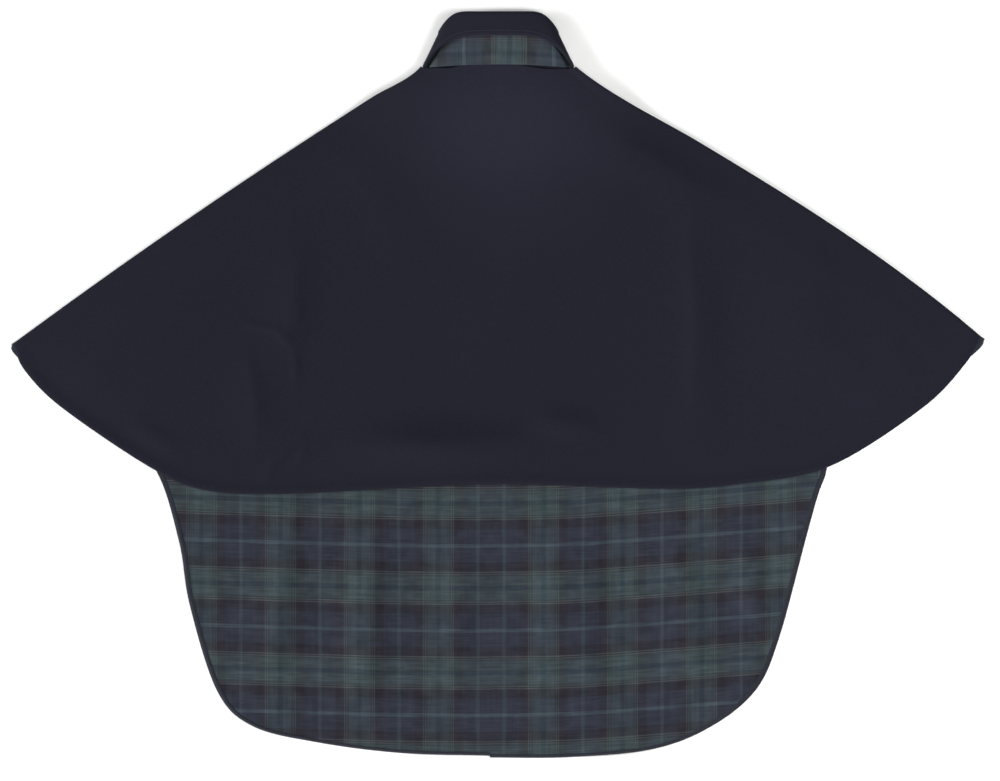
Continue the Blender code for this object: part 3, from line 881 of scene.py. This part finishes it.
def tartan_worsted(name, colours, tartan):
    """Fine worsted twill in a plain sett: dark bands cross and mix, almost matt."""
    material, tree, shader = new_material(name)
    cut = add_node(tree, "ShaderNodeUVMap", {"uv_map": CUT_UV}, {}).outputs["UV"]
    place = add_node(tree, "ShaderNodeSeparateXYZ", {}, {0: cut})
    # Threads 0.5 mm apart differ in thickness and dye along their length, drawn here as 2 mm streaks
    warp = sett_colour(tree, colours, place.outputs["X"], tartan.warp_repeat)
    warp = streaked(tree, warp, cut, width=2, height=90, spread=0.3)
    weft = sett_colour(tree, colours, place.outputs["Y"], tartan.weft_repeat)
    weft = streaked(tree, weft, cut, width=45, height=2, spread=0.4)
    # Twill lines are 1 mm apart, drawn here as 2 mm to show. More of the weft is on top.
    twill = ribs(tree, cut, 2, distortion=0.6)
    over = add_node(tree, "ShaderNodeMapRange", {}, {"Value": twill, "To Min": 0.46, "To Max": 0.76})
    mixed = add_node(
        tree, "ShaderNodeMix", {"data_type": "RGBA"},
        {"Factor": over.outputs[0], "A": warp, "B": weft},
    )
    # Handling leaves soft patches about 22 mm across
    mottled = streaked(tree, mixed.outputs["Result"], cut, width=22, height=22, spread=0.2)
    tree.links.new(mottled, shader.inputs["Base Color"])
    emboss(tree, shader, twill, strength=0.12, depth=0.2)
    set_cloth(shader, roughness=0.85, specular=0.06, sheen=0.01, sheen_roughness=0.4)
    return material


def matt_paper(name, colour):
    """Seamless background paper: matt, with a fibre too faint to see but for a hint of tone."""
    material, tree, shader = new_material(name)
    # Fibre clouds are about 30 mm across
    fibre = patches(tree, object_place(tree), 30, detail=3)
    tree.links.new(two_tones(tree, colour, 0.008, fibre), shader.inputs["Base Color"])
    set_cloth(shader, roughness=0.95, specular=0.1, sheen=0, sheen_roughness=0.5)
    return material


def mesh_piece(name, points, faces, material):
    """An object in the scene from points in mm."""
    mesh = bpy.data.meshes.new(name)
    mesh.from_pydata((points.reshape(-1, 3) * MM).tolist(), [], faces.tolist())
    mesh.shade_smooth()
    mesh.materials.append(material)
    piece = bpy.data.objects.new(name, mesh)
    bpy.context.scene.collection.objects.link(piece)
    return piece


def cloth_sheet(name, lower, thickness, material, cut=None, softness=0.35):
    """A wall of cloth up from a grid of points on its lower face, with soft rims.

    cut gives each point's place on the cloth before it was cut. Plain cloth goes by x and y. softness
    is the rim's width as a share of the thickness.
    """
    count = lower.shape[0] * lower.shape[1]
    index = np.arange(count).reshape(lower.shape[:2])
    corners = (index[:-1, :-1], index[1:, :-1], index[1:, 1:], index[:-1, 1:])
    faces = np.stack(corners, axis=-1).reshape(-1, 4)
    piece = mesh_piece(name, lower, faces, material)
    places = lower[..., :2] if cut is None else cut
    layer = piece.data.uv_layers.new(name=CUT_UV)
    layer.data.foreach_set("uv", (places.reshape(count, 2)[faces.ravel()] * MM).ravel())
    wall = piece.modifiers.new("Wall", "SOLIDIFY")
    wall.thickness = thickness
    wall.offset = 1
    rim = piece.modifiers.new("Soft rim", "BEVEL")
    rim.width = softness * thickness
    rim.segments = RIM_STEPS
    rim.limit_method = "ANGLE"
    rim.angle_limit = math.radians(RIM_ANGLE)
    rim.harden_normals = True
    return piece


def lay(piece, node):
    """Attach a sheet to the root and hide the imported part of the node that it stands for."""
    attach(piece, "root")
    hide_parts(node)


def stitches(name, path, normals, cloth, material):
    """A row of stitches along a path on a cloth's face, as one piece."""
    steps = run_lengths(path)
    pitch = (cloth.stitch + cloth.stitch_gap) / MM
    middles = np.arange(pitch / 2, steps[-1], pitch)
    centre = read_along(path, steps, middles)
    up = unit(read_along(normals, steps, middles))
    along = unit(read_along(path, steps, middles + pitch / 4) - centre)
    across = np.cross(along, up)
    radius = cloth.thread / MM
    points = []
    for share, width, rise in STITCH_RINGS:
        for turn in np.radians(np.arange(0, 360, 360 // STITCH_SIDES)):
            offset = along * share * cloth.stitch / MM
            offset = offset + across * radius * width * math.cos(turn)
            points.append(centre + offset + up * radius * (width * math.sin(turn) + rise))
    points = np.stack(points, axis=1)
    ring, step = np.meshgrid(np.arange(len(STITCH_RINGS) - 1), np.arange(STITCH_SIDES), indexing="ij")
    first = ring * STITCH_SIDES + step
    second = ring * STITCH_SIDES + (step + 1) % STITCH_SIDES
    one = np.stack([first, first + STITCH_SIDES, second + STITCH_SIDES, second], axis=-1).reshape(-1, 4)
    faces = (np.arange(len(middles))[:, None, None] * points.shape[1] + one).reshape(-1, 4)
    piece = mesh_piece(name, points, faces, material)
    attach(piece, "root")
    return piece


class CAPE_OT_stage(bpy.types.Operator):
    """Make the floor, the lights and the camera straight above the cape"""

    bl_idname = "cape.stage"
    bl_label = "Stage"

    # The floor and the camera's sensor are in mm, and the places of the camera and the lamps in metres
    FLOOR_SIZE = 9000
    FLOOR_Z = -0.4
    SENSOR = 36
    IMAGE_CENTRE = (0.0022, -0.0077)
    LAMPS = (
        Lamp("Left lamp", "AREA", "left_light", (-4.2, 0.3, 1.36), (0, 0, 0), 1.6),
        Lamp("Right lamp", "AREA", "right_light", (1.35, 0.0, 1.6), (0, 0, 0), 1.0),
        Lamp("Hem lamp", "AREA", "hem_light", (0, -5.0, 1.5), (0, 0, 0), 1.4),
        Lamp("Neck lamp", "SPOT", "neck_light", (0.01, 0.2, 1.2), (0.01, 0.375, 0), 0.1),
    )
    SPOT_ANGLE = 17

    def execute(self, context):
        scene = context.scene
        stage = scene.cape_stage
        half = self.FLOOR_SIZE / 2
        corners = np.array([(-half, -half), (half, -half), (half, half), (-half, half)])
        points = np.column_stack([corners, np.full(len(corners), self.FLOOR_Z)])
        paper = shared(matt_paper, "matt_paper", stage.floor)
        floor = mesh_piece("floor", points, np.array([[0, 1, 2, 3]]), paper)

        for lamp in self.LAMPS:
            light = bpy.data.lights.new(lamp.name, lamp.kind)
            light.energy = getattr(stage, lamp.power)
            if lamp.kind == "SPOT":
                light.spot_size = math.radians(self.SPOT_ANGLE)
                light.spot_blend = 1
                light.shadow_soft_size = lamp.size
            else:
                light.size = lamp.size
            holder = bpy.data.objects.new(lamp.name, light)
            holder.location = lamp.place
            aim = Vector(lamp.aim) - Vector(lamp.place)
            holder.rotation_euler = aim.to_track_quat("-Z", "Y").to_euler()
            scene.collection.objects.link(holder)

        world = bpy.data.worlds.new("Room light")
        world.use_nodes = True
        sky = world.node_tree.nodes["Background"]
        sky.inputs["Color"].default_value = (1, 1, 1, 1)
        sky.inputs["Strength"].default_value = stage.sky
        scene.world = world

        camera = bpy.data.cameras.new("Camera")
        camera.lens = stage.lens
        camera.sensor_width = self.SENSOR
        camera.dof.use_dof = False
        holder = bpy.data.objects.new("Camera", camera)
        holder.location = (*self.IMAGE_CENTRE, stage.view_width * stage.lens / self.SENSOR)
        scene.collection.objects.link(holder)
        scene.camera = holder
        scene.view_settings.view_transform = "Standard"
        return {"FINISHED"}


class CAPE_OT_back(bpy.types.Operator):
    """Make the plain navy back with its turned hem and overarm seams"""

    bl_idname = "cape.back"
    bl_label = "Back"

    COLUMNS = 311
    ROWS = 131

    def execute(self, context):
        cloth = context.scene.cape_cloth
        shape = BackShape(cloth.back / MM)
        melton = shared(navy_melton, "navy_melton", context.scene.cape_colours.navy)
        piece = cloth_sheet("back_cloth", shape.sheet(self.COLUMNS, self.ROWS), cloth.back, melton)
        lay(piece, "back")
        return {"FINISHED"}


class CAPE_OT_fronts(bpy.types.Operator):
    """Make the navy shells of both fronts, which lie on the surface"""

    bl_idname = "cape.fronts"
    bl_label = "Front shells"

    COLUMNS = 91
    ROWS = 81

    def execute(self, context):
        cloth = context.scene.cape_cloth
        melton = shared(navy_melton, "navy_melton", context.scene.cape_colours.navy)
        shares = np.linspace(0, 1, self.COLUMNS)
        for side, word in SIDES.items():
            share, row = np.meshgrid(shares[::side], np.linspace(0, 2, self.ROWS))
            lower = FrontShape(side, cloth).shell(share, row)
            piece = cloth_sheet(f"front_shell_{word}", lower, cloth.shell, melton)
            lay(piece, f"front_{word}")
        return {"FINISHED"}


class CAPE_OT_linings(bpy.types.Operator):
    """Make the tartan linings of both fronts"""

    bl_idname = "cape.linings"
    bl_label = "Linings"

    COLUMNS = 161
    ROWS = 141
    ROW_CROWDING = 1.4
    RIM_SOFTNESS = 0.03

    def execute(self, context):
        cloth = context.scene.cape_cloth
        scene = context.scene
        worsted = shared(tartan_worsted, "tartan_worsted", scene.cape_colours, scene.cape_tartan)
        shares = np.linspace(0, 1, self.COLUMNS)
        down = 1 - (1 - np.linspace(0, 1, self.ROWS)) ** self.ROW_CROWDING
        for side, word in SIDES.items():
            front = FrontShape(side, cloth)
            share, row = np.meshgrid(shares[::side], down)
            lower = front.lining(share, row)
            cut = front.lining_cut(lower)
            piece = cloth_sheet(f"lining_{word}", lower, cloth.lining, worsted, cut, self.RIM_SOFTNESS)
            lay(piece, f"front_lining_{word}")
        return {"FINISHED"}


class CAPE_OT_bindings(bpy.types.Operator):
    """Make the bound edges of both fronts, with a row of stitches in the ditch of each"""

    bl_idname = "cape.bindings"
    bl_label = "Bound edges"

    COLUMNS = 281
    ROWS = 9
    FIRST_ROW = 1.02
    STITCH_ROW = 1.1
    STITCHED_BELOW = -195

    def execute(self, context):
        cloth = context.scene.cape_cloth
        colours = context.scene.cape_colours
        tape = shared(navy_tape, "navy_cotton_tape", colours.binding)
        thread = shared(navy_thread, "navy_polyester_thread", colours.thread)
        shares = np.linspace(0, 1, self.COLUMNS)
        for side, word in SIDES.items():
            front = FrontShape(side, cloth)
            lower = front.binding_sheet(shares[::side], np.linspace(self.FIRST_ROW, 2, self.ROWS))
            piece = cloth_sheet(f"binding_{word}", lower, cloth.lining, tape)
            ditch = front.binding(shares[None], np.full((1, self.COLUMNS), self.STITCH_ROW))[0]
            ditch = ditch[ditch[:, 1] < self.STITCHED_BELOW] + (0, 0, cloth.lining / MM)
            upward = np.tile((0.0, 0.0, 1.0), (len(ditch), 1))
            sewn = stitches(f"binding_stitches_{word}", ditch, upward, cloth, thread)
            lay(
                piece, f"front_binding_{word}",
            )
        return {"FINISHED"}


class CAPE_OT_collar(bpy.types.Operator):
    """Make the folded collar: navy on top, tartan underneath, stitched along its edge"""

    bl_idname = "cape.collar"
    bl_label = "Collar"

    COLUMNS = 181
    STAND_ROWS = 12
    ROLL_ROWS = 14
    FALL_ROWS = 18
    EDGE_PUFF = 0.25
    EDGE_STEPS = (45, 90, 135, 180)

    def turned_over(self, grid, normals, radius):
        """The upper piece's free edge, turned over the under piece's."""
        onward = unit(grid[-1] - grid[-2])
        rows = []
        for degrees in self.EDGE_STEPS:
            turn = math.radians(degrees)
            offset = onward * math.sin(turn) + normals[-1] * (1 - math.cos(turn))
            rows.append(grid[-1] + radius * offset)
        return np.concatenate([grid, np.stack(rows)])

    def execute(self, context):
        cloth = context.scene.cape_cloth
        colours = context.scene.cape_colours
        thick = cloth.collar / MM
        turn_radius = (thick + SEAM_GAP) / 2
        shape = CollarShape(edge_inset=thick + turn_radius)
        angles = np.linspace(-COLLAR_END_ANGLE, COLLAR_END_ANGLE, self.COLUMNS)
        middle = shape.middle(angles, self.STAND_ROWS, self.ROLL_ROWS, self.FALL_ROWS)
        normals = grid_normals(middle)

        from_edge = run_lengths(middle[::-1])[::-1]
        stitch_inset = cloth.collar_stitch / MM - thick - turn_radius
        puff = self.EDGE_PUFF * arch(np.clip(from_edge / stitch_inset, 0, 1))
        upper = middle - normals * (SEAM_GAP / 2 + puff)[..., None]
        upper = self.turned_over(upper, normals, turn_radius)
        melton = shared(navy_melton, "navy_melton", colours.navy)
        top = cloth_sheet("collar_top", upper, cloth.collar, melton)

        under = middle + normals * (SEAM_GAP / 2)
        worsted = shared(tartan_worsted, "tartan_worsted", colours, context.scene.cape_tartan)
        centre = self.COLUMNS // 2
        weft = run_lengths(under, axis=1)
        weft = (weft - weft[:, [centre]] - COLLAR_SETT_CENTRE) / COLLAR_SETT_STRETCH
        weft += context.scene.cape_tartan.weft_repeat / MM / 2
        warp = run_lengths(under[:, centre]) + COLLAR_BAND_OFFSET
        cut = np.dstack([np.broadcast_to(warp[:, None], weft.shape), weft])
        lining = cloth_sheet("collar_lining", under[::-1], cloth.collar, worsted, cut[::-1])

        numbers = np.arange(len(from_edge))
        sewn_at = np.array([np.interp(-stitch_inset, -column, numbers) for column in from_edge.T])
        outer = middle - normals * (SEAM_GAP / 2 + thick)
        low = np.clip(np.floor(sewn_at).astype(int), 0, len(middle) - 2)
        part = (sewn_at - low)[:, None]
        column = np.arange(self.COLUMNS)
        path = outer[low, column] * (1 - part) + outer[low + 1, column] * part
        thread = shared(navy_thread, "navy_polyester_thread", colours.thread)
        sewn = stitches("collar_stitches", path, -normals[low, column], cloth, thread)

        lay(top, "collar_upper")
        lay(lining, "collar_under")
        return {"FINISHED"}


class CAPE_PT_panel(bpy.types.Panel):
    """Lists the cape's pieces and the sizes and colours that they are made from"""

    bl_idname = "CAPE_PT_panel"
    bl_label = "Cape"
    bl_space_type = "VIEW_3D"
    bl_region_type = "UI"
    bl_category = "Cape"

    def draw(self, context):
        for operator in OPERATORS:
            self.layout.operator(operator.bl_idname)
        for group in GROUPS:
            values = getattr(context.scene, group)
            box = self.layout.box()
            for name in values.bl_rna.properties.keys():
                if name not in ("rna_type", "name"):
                    box.prop(values, name)


GROUPS = {
    "cape_cloth": CapeCloth,
    "cape_colours": CapeColours,
    "cape_tartan": CapeTartan,
    "cape_stage": CapeStage,
}
OPERATORS = (
    CAPE_OT_stage, CAPE_OT_fronts, CAPE_OT_linings, CAPE_OT_bindings, CAPE_OT_back, CAPE_OT_collar,
)


def register():
    """Add the classes and their values to Blender."""
    for kind in (*GROUPS.values(), *OPERATORS, CAPE_PT_panel):
        bpy.utils.register_class(kind)
    for name, kind in GROUPS.items():
        setattr(bpy.types.Scene, name, PointerProperty(type=kind))


def unregister():
    """Take the classes and their values out of Blender."""
    for name in GROUPS:
        delattr(bpy.types.Scene, name)
    for kind in (CAPE_PT_panel, *reversed(OPERATORS), *reversed(GROUPS.values())):
        bpy.utils.unregister_class(kind)


def main():
    """Make the stage and every piece."""
    register()
    bpy.ops.cape.stage()
    bpy.ops.cape.fronts()
    bpy.ops.cape.linings()
    bpy.ops.cape.bindings()
    bpy.ops.cape.back()
    bpy.ops.cape.collar()


if __name__ == "__main__":
    main()
